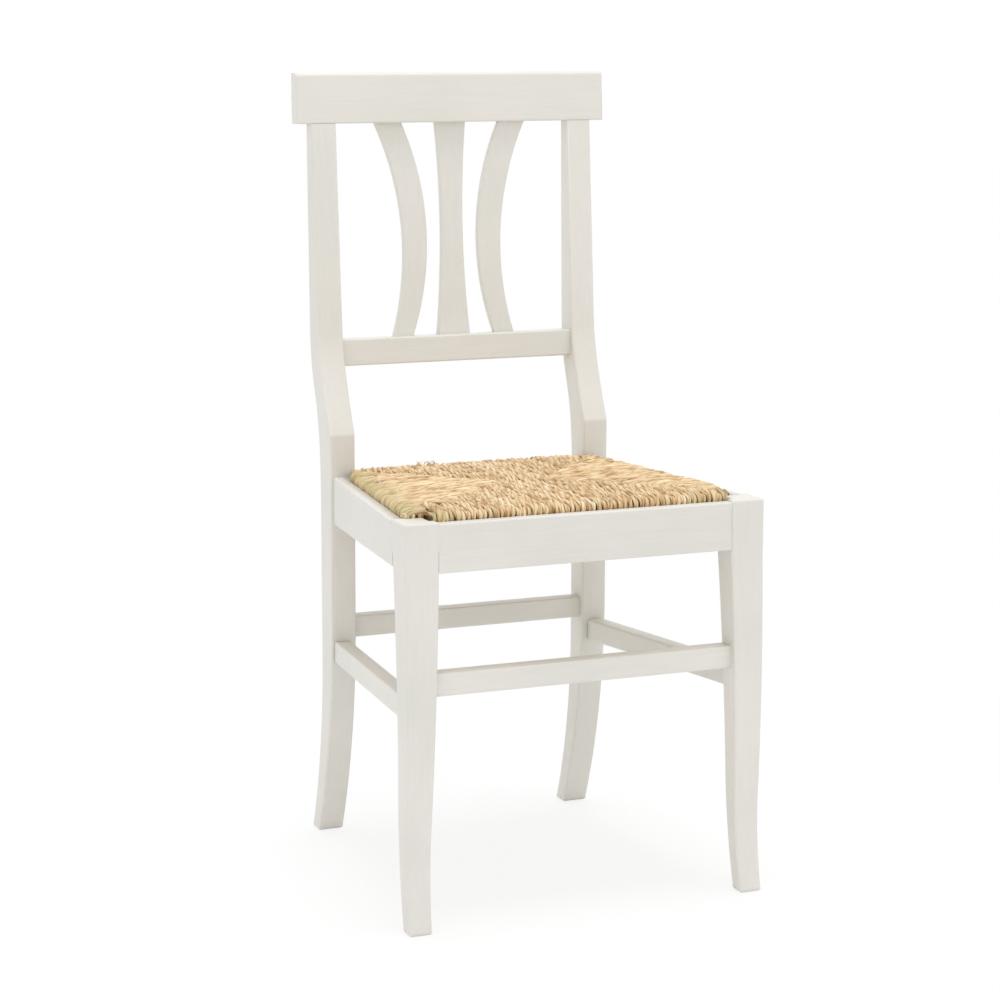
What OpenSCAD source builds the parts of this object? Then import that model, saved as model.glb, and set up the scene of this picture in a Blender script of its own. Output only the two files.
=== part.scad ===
// A painted side chair with a woven rush seat that drops into its seat rails.
// X runs across the seat, Y from front to back, Z up; the left side is at -X, as seen from the front.
// The origin is on the floor, in the middle of the chair's outline.

/* [Overall] */
// Height to the top of the crest rail
height = 930; // [900:1:960]
// Width across the front legs
front_w = 435; // [420:1:455]
// Width across the back posts
back_w = 363; // [345:1:375]
// From the faces of the front legs to the faces of the back posts
leg_gap = 347; // [330:1:365]
// Height of the seat at the front, where the front legs end
seat_h = 460; // [445:1:475]
// How far the seat falls from front to back
seat_fall = 5; // [0:0.5:8]

/* [Back posts] */
// Width of a back post
post_w = 31.5; // [28:0.5:34]
// Depth of a back post at the seat
post_d = 37; // [34:0.5:40]
// Depth of a back post at its top, under the crest rail
post_top_d = 18.5; // [16:0.5:19]
// How far the face of the foot sweeps back
heel_sweep = 55; // [30:1:65]
// How far the back of the foot sweeps back
heel_back = 41; // [25:1:50]
// Lean of the upper back, in degrees
back_lean = 3; // [2:0.5:4]

/* [Front legs] */
// Width of a front leg at the seat
leg_w = 40; // [37:0.5:42]
// Depth of a front leg at the seat
leg_d = 43; // [41:0.5:46]
// Width of a front leg at the floor
foot_w = 27; // [24:0.5:30]
// Depth of a front leg at its ankle
ankle_d = 24.5; // [23:0.5:27]
// How far the toe reaches forward of the leg
toe_reach = 12; // [6:0.5:15]
// How far the middle of the leg bows forward
leg_bow = 4; // [0:0.5:6]

/* [Seat rails] */
// Thickness of the seat rails
rail_t = 22; // [20:0.5:24]
// Height of the front seat rail
front_rail_h = 55; // [50:1:60]
// Height of a side rail at its front end
side_rail_h = 50; // [48:1:56]
// Height of a side rail at its back end
side_rail_back_h = 57; // [52:1:60]
// Height of the back seat rail
back_rail_h = 50; // [45:1:55]
// How far the rail tops lie below the tops of the front legs
rail_drop = 2; // [0:0.5:3]
// Width of the rail top that shows round the woven seat
seat_margin = 15; // [13:0.5:17]
// Depth of the ledge that holds the woven seat
ledge_depth = 16; // [14:0.5:18]

/* [Woven seat] */
// How far the weave stands above the tops of the front legs
weave_rise = 10; // [7:0.5:12]
// Thickness of the weave over the seat frame
weave_t = 7.5; // [6:0.5:8.5]
// Width of the seat frame's bars
frame_w = 30; // [26:1:32]

/* [Stretchers] */
// Height of a stretcher
stretcher_h = 26; // [20:1:27]
// Thickness of a stretcher
stretcher_t = 20; // [16:1:21]
// Height of the top of the front stretcher
front_stretcher_top = 291; // [280:1:310]
// Height of the top of the back stretcher
back_stretcher_top = 280; // [275:1:300]
// Height of the top of a side stretcher at its front end
side_stretcher_top = 263; // [250:1:264]

/* [Back rails and splats] */
// Height of the crest rail
crest_h = 61; // [55:1:66]
// Thickness of the crest rail
crest_t = 20; // [19:0.5:24]
// Length of the crest rail
crest_l = 398; // [385:1:410]
// Height of the lower back rail
lower_rail_h = 32; // [28:1:36]
// Thickness of the lower back rail
lower_rail_t = 24; // [20:0.5:26]
// Thickness of a splat
splat_t = 8.5; // [7.5:0.5:10]
// Waist of the centre splat
waist_w = 28; // [26:1:34]
// From the middle of the back to the inner edge of a side splat's waist
splat_inner_x = 33; // [28:1:34]
// Width of a side splat at its waist
splat_waist_w = 30.5; // [28:0.5:34]

/* [Hidden] */
$fn = 48;

paint = "#dcdad0";
bare_wood = "#c8a673";
rush = "#cfae72";
steel = "#9a9a98";

LEFT = -1;
RIGHT = 1;
big = 700;
gap = 1;

// Outline of the posts: y from the face of the front legs, z from the floor
foot_edge = 5;
heel_z = 273;
heel_back_z = 227;
rake_z = 504;
rake_ctrl = [37, 581];
shoulder_z = 619;
shoulder_y = 56.5;
shoulder_d = 32.5;
back_bend_z = 412;
back_ctrl_low = 567;
back_ctrl_high = [70.6, 530];
post_in = back_w / 2 - post_w;

// Outline of the front legs
rail_foot_z = seat_h - 65;
ankle_z = 152;
toe_z = 101;
toe_back_z = 141;
toe_back_reach = 16.5;
leg_ctrl_z = seat_h - 173;

// Seat rails
rail_top_z = seat_h - rail_drop;
rail_recess = 1;
side_inset = 3.7;
side_slope = (front_w / 2 - back_w / 2 + side_inset) / (leg_gap - leg_d);
side_angle = atan(side_slope);
rail_skew_t = rail_t / cos(side_angle);
fall_angle = atan(seat_fall / leg_gap);
back_rail_y = leg_gap + 2;
leg_lip_x = 6;
leg_lip_y = 6;

// Tenons
tenon_t = 9;
rail_tenon_h = 30;
rail_tenon_l = 21;
back_rail_tenon_l = 9;
stretcher_tenon_t = 8;
stretcher_tenon_h = 16;
stretcher_tenon_l = 14;
post_tenon_w = 18;
post_tenon_l = 30;
splat_tenon_l = 12;
splat_tenon_t = 5;
// The splats stand behind the middle of the rails that hold them
splat_set_back = 4.5;

// Stretchers
front_stretcher_y = 5;
front_stretcher_t = stretcher_t + 1;
back_stretcher_y = leg_gap + 8;
side_stretcher_inset = 4;
side_stretcher_drop = 11;

// The upper back, in its own leaning plane, with height measured from the shoulder
plane_crest = (height - crest_h - shoulder_z) / cos(back_lean);
plane_rail = -7;
crest_round_h = 6;
crest_round_d = 11;
side_splat_outer_r = 360;
side_splat_inner_r = 345;
side_splat_outer_z = 98;
side_splat_inner_z = 109;
centre_splat_r = 1300;
centre_splat_z = 130;

// Blocks and screws under the seat
block_h = 22;
block_reach_front = 62;
block_reach_back = 60;
screw_r = 2;
screw_head_r = 4;
screw_head_h = 2.5;
counterbore_r = 5;

// The chair is drawn from the faces of its front legs, then its outline is centred
crest_back_y = leg_gap + shoulder_y + (plane_crest + crest_h) * sin(back_lean) + crest_t / 2 * cos(back_lean);
// The eased corner of the foot takes a millimetre off the reach of the toe
front_y = -(crest_back_y - toe_reach + 1) / 2;

function quad(a, b, c, n = 12) = [for (i = [0:n]) let (t = i / n)
    (1 - t) * (1 - t) * a + 2 * t * (1 - t) * b + t * t * c];

function cubic(a, b, c, d, n = 16) = [for (i = [0:n]) let (t = i / n)
    pow(1 - t, 3) * a + 3 * t * pow(1 - t, 2) * b + 3 * t * t * (1 - t) * c + pow(t, 3) * d];

// An arc that leaves the upright line through y at height z, and has moved by reach at the floor
function sweep(y, z, reach, n = 12) = let (r = (z * z + reach * reach) / (2 * reach), turn = asin(z / r))
    [for (i = [n:-1:0]) [y + r - r * cos(turn * i / n), z - r * sin(turn * i / n)]];

function reversed(list) = [for (i = [len(list) - 1:-1:0]) list[i]];

// Outer and inner faces of the right-hand side rail at a distance y from the front
function side_x(y) = front_w / 2 - (y - leg_d) * side_slope;
function side_inner_x(y) = side_x(y) - rail_skew_t;

module place() translate([0, front_y, 0]) children();

module on_side(side) mirror([side == LEFT ? 1 : 0, 0, 0]) children();

// A plate seen from the side, its outline in y and z
module side_plate(outline, x, w) translate([x, 0, 0]) rotate([90, 0, 90]) linear_extrude(w) polygon(outline);

// A plate seen from the front, its outline in x and z
module front_plate(outline, y, t) translate([0, y + t, 0]) rotate([90, 0, 0])
    linear_extrude(t) polygon(outline);

// A straight square bar between the middles of its ends
module bar(a, b, w, h) {
    d = b - a;
    translate(a)
        rotate([atan2(d.z, norm([d.x, d.y])), 0, -atan2(d.x, d.y)])
            translate([-w / 2, 0, -h / 2]) cube([w, norm(d), h]);
}

// The plane of the legs' tops, in which the seat lies; it falls to the back
module seat_plane() translate([0, 0, seat_h]) rotate([-fall_angle, 0, 0]) children();

// The leaning plane in which the crest rail, the lower rail and the splats stand
module back_plane() translate([0, leg_gap + shoulder_y, shoulder_z]) rotate([-back_lean, 0, 0]) children();

module above_seat() seat_plane() translate([-big / 2, -50, 0]) cube([big, big, 80]);

module above_rails() translate([0, 0, -rail_drop]) above_seat();

// ---- Outlines ----

// Width of a leg or post seen from the front, its lower corners eased
function foot_outline(x0, x1, x0_top, z_top) = concat(
    quad([x0, foot_edge], [x0, 0], [x0 + foot_edge, 0], 6),
    quad([x1 - foot_edge, 0], [x1, 0], [x1, foot_edge], 6),
    z_top);

post_top_y = leg_gap + shoulder_y + (height - crest_h - shoulder_z) * tan(back_lean);
post_top_z = height - crest_h + 4;

function post_outline() = concat(
    quad([leg_gap + heel_sweep - 2, foot_edge], [leg_gap + heel_sweep, 0],
        [leg_gap + heel_sweep + foot_edge, 0], 6),
    quad([leg_gap + post_d + heel_back - foot_edge, 0], [leg_gap + post_d + heel_back, 0],
        [leg_gap + post_d + heel_back - 1.5, foot_edge], 6),
    [for (p = sweep(leg_gap + post_d, heel_back_z, heel_back)) if (p[1] > foot_edge + 1) p],
    cubic([leg_gap + post_d, back_bend_z], [leg_gap + post_d, back_ctrl_low],
        [leg_gap + back_ctrl_high[0], back_ctrl_high[1]],
        [leg_gap + shoulder_y + shoulder_d / 2, shoulder_z + 13]),
    [[post_top_y + post_top_d / 2, post_top_z], [post_top_y - post_top_d / 2, post_top_z]],
    reversed(quad([leg_gap, rake_z], [leg_gap + rake_ctrl[0], rake_ctrl[1]],
        [leg_gap + shoulder_y - shoulder_d / 2, shoulder_z], 16)),
    reversed([for (p = sweep(leg_gap, heel_z, heel_sweep)) if (p[1] > foot_edge + 1) p]));

function leg_outline() = concat(
    quad([1.3 - toe_reach, foot_edge], [-toe_reach, 0], [foot_edge - toe_reach, 0], 6),
    quad([ankle_d - toe_back_reach - foot_edge, 0], [ankle_d - toe_back_reach, 0],
        [ankle_d - toe_back_reach + 1.2, foot_edge], 6),
    [for (p = sweep(ankle_d, toe_back_z, -toe_back_reach)) if (p[1] > foot_edge + 1) p],
    reversed(quad([leg_d, seat_h + 3], [ankle_d, leg_ctrl_z], [ankle_d, ankle_z], 16)),
    [[0, seat_h + 3]],
    quad([0, rail_foot_z], [-2 * leg_bow, (rail_foot_z + toe_z) / 2], [0, toe_z], 14),
    reversed([for (p = sweep(0, toe_z, -toe_reach)) if (p[1] > foot_edge + 1 && p[1] < toe_z - 1) p]));

// ---- Bodies before their mortises are cut ----

module post_body() intersection() {
    side_plate(post_outline(), post_in, post_w);
    front_plate(foot_outline(post_in, post_in + post_w, 0, [[post_in + post_w, height], [post_in, height]]),
        leg_gap - 20, 200);
}

module leg_body() difference() {
    intersection() {
        side_plate(leg_outline(), front_w / 2 - leg_w, leg_w);
        front_plate(foot_outline(front_w / 2 - foot_w, front_w / 2, 0, [
            [front_w / 2, seat_h + 4], [front_w / 2 - leg_w, seat_h + 4],
            [front_w / 2 - leg_w, rail_foot_z]]), -40, 120);
    }
    above_seat();
}

// ---- Tenons, as they stand in the chair on its right-hand side ----

rail_tenon_z = seat_h - ledge_depth - rail_tenon_h / 2 - 3;

module front_rail_tenon() translate([front_w / 2 - leg_w - 1, rail_recess + (rail_t - tenon_t) / 2,
    rail_tenon_z - rail_tenon_h / 2]) cube([rail_tenon_l + 1, tenon_t, rail_tenon_h]);

module side_rail_tenons() bar(
    [side_x(leg_d - rail_tenon_l) - rail_skew_t / 2, leg_d - rail_tenon_l, rail_tenon_z],
    [side_x(leg_gap + rail_tenon_l) - rail_skew_t / 2, leg_gap + rail_tenon_l, rail_tenon_z - seat_fall],
    tenon_t, rail_tenon_h);

module back_rail_tenon() translate([post_in - 1, back_rail_y + (rail_t - tenon_t) / 2,
    rail_tenon_z - seat_fall - rail_tenon_h / 2]) cube([back_rail_tenon_l + 1, tenon_t, rail_tenon_h]);

module front_stretcher_tenon() translate([leg_inner_x(front_stretcher_top) - 6,
    front_stretcher_y + (front_stretcher_t - stretcher_tenon_t) / 2,
    front_stretcher_top - (stretcher_h + stretcher_tenon_h) / 2])
    cube([stretcher_tenon_l + 6, stretcher_tenon_t, stretcher_tenon_h]);

module back_stretcher_tenon() translate([post_in - 1,
    back_stretcher_y + (stretcher_t - stretcher_tenon_t) / 2,
    back_stretcher_top - (stretcher_h + stretcher_tenon_h) / 2])
    cube([stretcher_tenon_l + 1, stretcher_tenon_t, stretcher_tenon_h]);

function leg_inner_x(z) = front_w / 2 - foot_w - (leg_w - foot_w) * z / rail_foot_z;
function stretcher_x(y) = front_w / 2 - side_stretcher_inset - stretcher_t / 2
    - (front_w - back_w) / 2 * (y - 10) / (leg_gap - 10);
function stretcher_z(y) = side_stretcher_top - stretcher_h / 2
    - side_stretcher_drop * (y - 30) / (leg_gap - 30);

module side_stretcher_bar(from_y, to_y, t, h) bar(
    [stretcher_x(from_y), from_y, stretcher_z(from_y)], [stretcher_x(to_y), to_y, stretcher_z(to_y)], t, h);

module side_stretcher_tenons() side_stretcher_bar(ankle_d - 8, leg_gap + stretcher_tenon_l,
    stretcher_tenon_t, stretcher_tenon_h);

module lower_rail_tenon() back_plane() translate([post_in - 1, -tenon_t / 2, plane_rail - lower_rail_h + 6])
    cube([stretcher_tenon_l + 1, tenon_t, lower_rail_h - 12]);

module post_tenon() back_plane()
    translate([post_in + (post_w - post_tenon_w) / 2, -tenon_t / 2, plane_crest - 5])
    cube([post_tenon_w, tenon_t, post_tenon_l + 5]);

module splat_tenon(x, w, z) back_plane() translate([x - w / 2, splat_set_back - splat_tenon_t / 2, z])
    cube([w, splat_tenon_t, splat_tenon_l + 2]);

// ---- Legs and posts ----

module back_post(side) color(paint) place() on_side(side) {
    difference() {
        post_body();
        back_plane() translate([0, -50, plane_crest]) cube([big, 100, 60]);
        side_rail_tenons();
        back_rail_tenon();
        side_stretcher_tenons();
        back_stretcher_tenon();
        lower_rail_tenon();
    }
    post_tenon();
}

module front_leg(side) color(paint) place() on_side(side) difference() {
    leg_body();
    front_rail_tenon();
    side_rail_tenons();
    front_stretcher_tenon();
    side_stretcher_tenons();
    seat_pocket();
}

// ---- Seat rails ----

module front_seat_rail() color(paint) place() difference() {
    union() {
        translate([-front_w / 2 + leg_w, rail_recess, rail_top_z - front_rail_h])
            cube([front_w - 2 * leg_w, rail_t, front_rail_h]);
        for (side = [LEFT, RIGHT]) on_side(side) front_rail_tenon();
    }
    above_rails();
    seat_pocket();
    for (side = [LEFT, RIGHT]) on_side(side) front_block_screws();
}

module back_seat_rail() color(paint) place() difference() {
    union() {
        translate([-post_in, back_rail_y, rail_top_z - seat_fall - back_rail_h])
            cube([2 * post_in, rail_t, back_rail_h + 1]);
        for (side = [LEFT, RIGHT]) on_side(side) back_rail_tenon();
    }
    above_rails();
    seat_pocket();
    for (side = [LEFT, RIGHT]) on_side(side) back_block_screws();
}

// The side rail's outline from above and from the side; its ends are cut to the leg and the post
module side_rail_body() difference() {
    intersection() {
        linear_extrude(seat_h + 5) polygon([[side_inner_x(20), 20], [front_w / 2, 20], [front_w / 2, leg_d],
            [side_x(leg_gap), leg_gap], [side_inner_x(leg_gap), leg_gap]]);
        side_plate([[20, rail_top_z - side_rail_h], [leg_gap, rail_top_z - seat_fall - side_rail_back_h],
            [leg_gap, seat_h + 5], [20, seat_h + 5]], 0, front_w);
    }
    side_plate(leg_outline(), front_w / 2 - leg_w, leg_w + 20);
}

module side_seat_rail(side) color(paint) place() on_side(side) difference() {
    union() {
        side_rail_body();
        side_rail_tenons();
    }
    above_rails();
    seat_pocket();
    front_block_screws();
    back_block_screws();
}

// ---- Stretchers ----

module front_stretcher() color(paint) place() {
    difference() {
        translate([-front_w / 2, front_stretcher_y, front_stretcher_top - stretcher_h])
            cube([front_w, front_stretcher_t, stretcher_h]);
        for (side = [LEFT, RIGHT]) on_side(side) {
            leg_body();
            translate([front_w / 2 - foot_w, -20, 0]) cube([foot_w + 5, 80, seat_h]);
        }
    }
    for (side = [LEFT, RIGHT]) on_side(side) front_stretcher_tenon();
}

module back_stretcher() color(paint) place() {
    translate([-post_in, back_stretcher_y, back_stretcher_top - stretcher_h])
        cube([2 * post_in, stretcher_t, stretcher_h]);
    for (side = [LEFT, RIGHT]) on_side(side) back_stretcher_tenon();
}

module side_stretcher(side) color(paint) place() on_side(side) {
    difference() {
        side_stretcher_bar(12, leg_gap + 10, stretcher_t, stretcher_h);
        leg_body();
        translate([0, -5, 0]) cube([front_w, 22, seat_h]);
        translate([0, leg_gap, 0]) cube([front_w, 50, seat_h]);
    }
    side_stretcher_tenons();
}

// ---- Back ----

function crest_outline() = concat(
    [[-crest_t / 2, plane_crest], [crest_t / 2, plane_crest], [crest_t / 2, plane_crest + crest_h]],
    quad([crest_round_d - crest_t / 2, plane_crest + crest_h], [-crest_t / 2, plane_crest + crest_h],
        [-crest_t / 2, plane_crest + crest_h - crest_round_h], 10));

module crest_rail() color(paint) place() difference() {
    back_plane() side_plate(crest_outline(), -crest_l / 2, crest_l);
    for (side = [LEFT, RIGHT]) on_side(side) {
        post_tenon();
        splat_tenon(side_splat_top_x, side_splat_tenon_w, plane_crest - 2);
    }
    splat_tenon(0, waist_w, plane_crest - 2);
}

module lower_back_rail() color(paint) place() {
    difference() {
        back_plane() translate([-post_in, -lower_rail_t / 2, plane_rail - lower_rail_h])
            cube([2 * post_in, lower_rail_t, lower_rail_h]);
        for (side = [LEFT, RIGHT]) on_side(side)
            splat_tenon(side_splat_foot_x, side_splat_tenon_w, plane_rail - splat_tenon_l);
        splat_tenon(0, waist_w, plane_rail - splat_tenon_l);
    }
    for (side = [LEFT, RIGHT]) on_side(side) lower_rail_tenon();
}

// Where an edge curved about its waist stands at a height in the back plane
function curved_x(x, r, waist, z) = x + r - sqrt(r * r - pow(z - waist, 2));
function curved_edge(x, r, waist, n = 20) = [for (i = [0:n])
    let (z = plane_rail + (plane_crest - plane_rail) * i / n) [curved_x(x, r, waist, z), z]];

splat_outer_x = splat_inner_x + splat_waist_w;
side_splat_tenon_w = splat_waist_w - 11;
side_splat_top_x = (curved_x(splat_inner_x, side_splat_inner_r, side_splat_inner_z, plane_crest)
    + curved_x(splat_outer_x, side_splat_outer_r, side_splat_outer_z, plane_crest)) / 2;
side_splat_foot_x = (curved_x(splat_inner_x, side_splat_inner_r, side_splat_inner_z, plane_rail)
    + curved_x(splat_outer_x, side_splat_outer_r, side_splat_outer_z, plane_rail)) / 2;

module side_splat(side) color(paint) place() on_side(side) {
    back_plane() front_plate(concat(
        curved_edge(splat_outer_x, side_splat_outer_r, side_splat_outer_z),
        reversed(curved_edge(splat_inner_x, side_splat_inner_r, side_splat_inner_z))),
        splat_set_back - splat_t / 2, splat_t);
    splat_tenon(side_splat_top_x, side_splat_tenon_w, plane_crest - 2);
    splat_tenon(side_splat_foot_x, side_splat_tenon_w, plane_rail - splat_tenon_l);
}

module splat_centre() color(paint) place() {
    back_plane() front_plate(concat(
        curved_edge(waist_w / 2, centre_splat_r, centre_splat_z),
        [for (p = reversed(curved_edge(waist_w / 2, centre_splat_r, centre_splat_z))) [-p[0], p[1]]]),
        splat_set_back - splat_t / 2, splat_t);
    splat_tenon(0, waist_w, plane_crest - 2);
    splat_tenon(0, waist_w, plane_rail - splat_tenon_l);
}

// ---- The woven seat and its frame, in the plane of the legs' tops ----

// The right half of the seat's outline, let out by some clearance and notched at the legs and posts.
// The pocket runs on past the ends of the back rail.
function half_seat(clear) = [
    [front_w / 2 - leg_w + leg_lip_x + clear, seat_margin - clear],
    [front_w / 2 - leg_w + leg_lip_x + clear, leg_d - leg_lip_y - clear],
    [side_x(leg_d - leg_lip_y) - seat_margin + clear, leg_d - leg_lip_y - clear],
    [side_x(leg_gap) - seat_margin + clear, leg_gap - gap + clear],
    [post_in - gap + 6 * clear, leg_gap - gap + clear],
    [post_in - gap + 6 * clear, back_rail_y + rail_t - seat_margin + 1 + clear]];

function seat_outline(clear) = concat(half_seat(clear), [for (p = reversed(half_seat(clear))) [-p[0], p[1]]]);

module seat_pocket() seat_plane() translate([0, 0, -ledge_depth])
    linear_extrude(60) polygon(seat_outline(gap));

weave_round = 9;
frame_z = weave_t - ledge_depth;
frame_t = ledge_depth + weave_rise - 2 * weave_t;
frame_front_y = seat_margin + weave_t;
frame_back_y = back_rail_y + rail_t - seat_margin + 1 - weave_t;
frame_front_x = front_w / 2 - leg_w + leg_lip_x - weave_t;
frame_back_x = post_in - gap - weave_t;

// The front and back bars, let out above and below when they cut the laps of the side bars
module frame_bar_front(lap = 0) seat_plane() translate([-frame_front_x, frame_front_y, frame_z - lap])
    cube([2 * frame_front_x, frame_w, frame_t + 2 * lap]);

module frame_bar_back(lap = 0) seat_plane() translate([-frame_back_x, frame_back_y - frame_w, frame_z - lap])
    cube([2 * frame_back_x, frame_w, frame_t + 2 * lap]);

// The side bar laps round the ends of the front and back bars
module frame_bar_side() difference() {
    seat_plane() translate([0, 0, frame_z]) linear_extrude(frame_t) polygon([
        [side_frame_x(frame_start_y), frame_start_y],
        [side_frame_x(frame_end_y), frame_end_y],
        [side_frame_x(frame_end_y) - frame_w, frame_end_y],
        [side_frame_x(frame_start_y) - frame_w, frame_start_y]]);
    frame_bar_front(gap);
    frame_bar_back(gap);
}

function side_frame_x(y) = side_x(y) - seat_margin - weave_t;
frame_start_y = leg_d - leg_lip_y + weave_t;
frame_end_y = leg_gap - gap - weave_t;

module seat_frame_front() color(bare_wood) place() difference() {
    frame_bar_front();
    for (side = [LEFT, RIGHT]) on_side(side) seat_screw(front_screw_at);
}

module seat_frame_back() color(bare_wood) place() difference() {
    frame_bar_back();
    for (side = [LEFT, RIGHT]) on_side(side) seat_screw(back_screw_at);
}

module seat_frame_side(side) color(bare_wood) place() on_side(side) frame_bar_side();

// A cutter that rounds a straight top edge from a to b; the weave lies to the left of it
module edge_cutter(a, b, r = weave_round)
    translate([a[0], a[1], weave_rise - r]) rotate([0, 0, atan2(b[1] - a[1], b[0] - a[0])]) difference() {
        translate([-r, -r, 0]) cube([norm(b - a) + 2 * r, 2 * r, 2 * r]);
        translate([-2 * r, r, 0]) rotate([0, 90, 0]) cylinder(r = r, h = norm(b - a) + 4 * r);
    }

module rush_seat() color(rush) place() difference() {
    seat_plane() difference() {
        translate([0, 0, -ledge_depth]) linear_extrude(ledge_depth + weave_rise) polygon(seat_outline(0));
        edge_cutter([-front_w / 2, seat_margin], [front_w / 2, seat_margin]);
        edge_cutter([front_w / 2, frame_back_y + weave_t], [-front_w / 2, frame_back_y + weave_t]);
        for (side = [LEFT, RIGHT]) on_side(side)
            edge_cutter([side_x(0) - seat_margin, 0], [side_x(leg_gap + 30) - seat_margin, leg_gap + 30]);
    }
    frame_bar_front();
    frame_bar_back();
    for (side = [LEFT, RIGHT]) on_side(side) {
        frame_bar_side();
        seat_screw(front_screw_at);
        seat_screw(back_screw_at);
    }
}

// ---- Corner blocks and screws, in the plane of the legs' tops ----

front_in_y = rail_recess + rail_t;
leg_in_x = front_w / 2 - leg_w;
block_z = -ledge_depth - block_h;
block_screw_z = block_z + block_h / 2;
front_screw_at = [leg_in_x - 26, 40];
back_screw_at = [post_in - 16, leg_gap - 15];

module corner_block_body(outline) intersection() {
    linear_extrude(seat_h) polygon(outline);
    seat_plane() translate([-big / 2, -50, block_z]) cube([big, big, block_h]);
}

function front_block_outline() = [
    [leg_in_x - block_reach_front, front_in_y], [leg_in_x, front_in_y], [leg_in_x, leg_d],
    [side_inner_x(leg_d), leg_d], [side_inner_x(leg_d + block_reach_front), leg_d + block_reach_front]];

function back_block_outline() = [
    [post_in - block_reach_back, back_rail_y], [post_in, back_rail_y], [post_in, leg_gap],
    [side_inner_x(leg_gap), leg_gap], [side_inner_x(leg_gap - block_reach_back), leg_gap - block_reach_back]];

// A screw with its head at the origin, pointing along +Z, and the counterbore behind its head
module screw(l) {
    cylinder(r = screw_r, h = l);
    cylinder(r = screw_head_r, h = screw_head_h);
}

module counterbore(l) rotate([180, 0, 0]) cylinder(r = counterbore_r, h = l);

// How far the heads stand from the rail that each screw enters
head_stand = 15;
screw_l = head_stand + 10;
bore_l = 40;

module at_front_rail() seat_plane() translate([leg_in_x - 40, front_in_y + head_stand, block_screw_z])
    rotate([90, 0, 0]) children();

module at_back_rail() seat_plane() translate([post_in - 38, back_rail_y - head_stand, block_screw_z])
    rotate([-90, 0, 0]) children();

module at_side_rail(y) seat_plane() translate([side_inner_x(y), y, block_screw_z]) rotate([0, 0, side_angle])
    translate([-head_stand, 0, 0]) rotate([0, 90, 0]) children();

front_side_screw_y = leg_d + 40;
back_side_screw_y = leg_gap - 38;

module front_block_screws() {
    at_front_rail() screw(screw_l);
    at_side_rail(front_side_screw_y) screw(screw_l);
}

module back_block_screws() {
    at_back_rail() screw(screw_l);
    at_side_rail(back_side_screw_y) screw(screw_l);
}

// A screw up through a block into the seat frame, its head let into the underside of the block
module seat_screw(at) seat_plane() translate([at[0], at[1], block_z]) screw(seat_screw_l);
seat_screw_l = block_h + weave_t + frame_t - 5;

module corner_block_front(side) color(bare_wood) place() on_side(side) difference() {
    corner_block_body(front_block_outline());
    front_block_screws();
    at_front_rail() counterbore(bore_l);
    at_side_rail(front_side_screw_y) counterbore(bore_l);
    seat_screw(front_screw_at);
}

module corner_block_back(side) color(bare_wood) place() on_side(side) difference() {
    corner_block_body(back_block_outline());
    back_block_screws();
    at_back_rail() counterbore(bore_l);
    at_side_rail(back_side_screw_y) counterbore(bore_l);
    seat_screw(back_screw_at);
}

module corner_block_screws() color(steel) place() for (side = [LEFT, RIGHT]) on_side(side) {
    front_block_screws();
    back_block_screws();
}

module seat_screws() color(steel) place() for (side = [LEFT, RIGHT]) on_side(side) {
    seat_screw(front_screw_at);
    seat_screw(back_screw_at);
}

back_post(LEFT);  // back_post_left
back_post(RIGHT);  // back_post_right
front_leg(LEFT);  // front_leg_left
front_leg(RIGHT);  // front_leg_right
front_seat_rail();
back_seat_rail();
side_seat_rail(LEFT);  // side_seat_rail_left
side_seat_rail(RIGHT);  // side_seat_rail_right
front_stretcher();
back_stretcher();
side_stretcher(LEFT);  // side_stretcher_left
side_stretcher(RIGHT);  // side_stretcher_right
crest_rail();
lower_back_rail();
side_splat(LEFT);  // splat_left
splat_centre();
side_splat(RIGHT);  // splat_right
seat_frame_front();
seat_frame_back();
seat_frame_side(LEFT);  // seat_frame_left
seat_frame_side(RIGHT);  // seat_frame_right
rush_seat();
corner_block_front(LEFT);  // corner_block_front_left
corner_block_front(RIGHT);  // corner_block_front_right
corner_block_back(LEFT);  // corner_block_back_left
corner_block_back(RIGHT);  // corner_block_back_right
corner_block_screws();
seat_screws();
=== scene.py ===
# %% [markdown]
# # A painted side chair with a rush seat
#
# The chair is built the way a maker builds it: legs, posts, rails, stretchers and splats of beech,
# glued with tenons, sprayed in off-white satin paint, and a seat of twisted rush that drops into
# the rails. The construction comes ready made as a frame of plain solids. This lesson gives them
# their looks: eased edges, a brushed paint, a woven seat made cord by cord, and studio light.

# %% Load the frame
import math
import random

import bmesh
import bpy
import numpy as np
from mathutils import Matrix, Vector
from mathutils.bvhtree import BVHTree


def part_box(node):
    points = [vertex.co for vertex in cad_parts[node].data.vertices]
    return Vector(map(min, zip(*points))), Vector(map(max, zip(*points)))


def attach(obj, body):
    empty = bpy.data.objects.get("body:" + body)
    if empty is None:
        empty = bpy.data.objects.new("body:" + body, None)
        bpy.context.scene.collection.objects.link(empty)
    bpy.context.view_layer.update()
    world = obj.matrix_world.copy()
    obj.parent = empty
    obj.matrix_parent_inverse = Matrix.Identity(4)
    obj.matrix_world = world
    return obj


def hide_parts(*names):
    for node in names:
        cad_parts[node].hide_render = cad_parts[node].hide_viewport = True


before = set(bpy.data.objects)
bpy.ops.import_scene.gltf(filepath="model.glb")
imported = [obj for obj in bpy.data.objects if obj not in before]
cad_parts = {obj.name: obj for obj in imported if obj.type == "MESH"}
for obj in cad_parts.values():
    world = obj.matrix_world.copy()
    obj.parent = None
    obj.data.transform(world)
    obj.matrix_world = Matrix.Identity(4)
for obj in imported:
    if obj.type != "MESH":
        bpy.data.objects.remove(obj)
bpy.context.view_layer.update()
bpy.ops.object.select_all(action="DESELECT")

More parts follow.
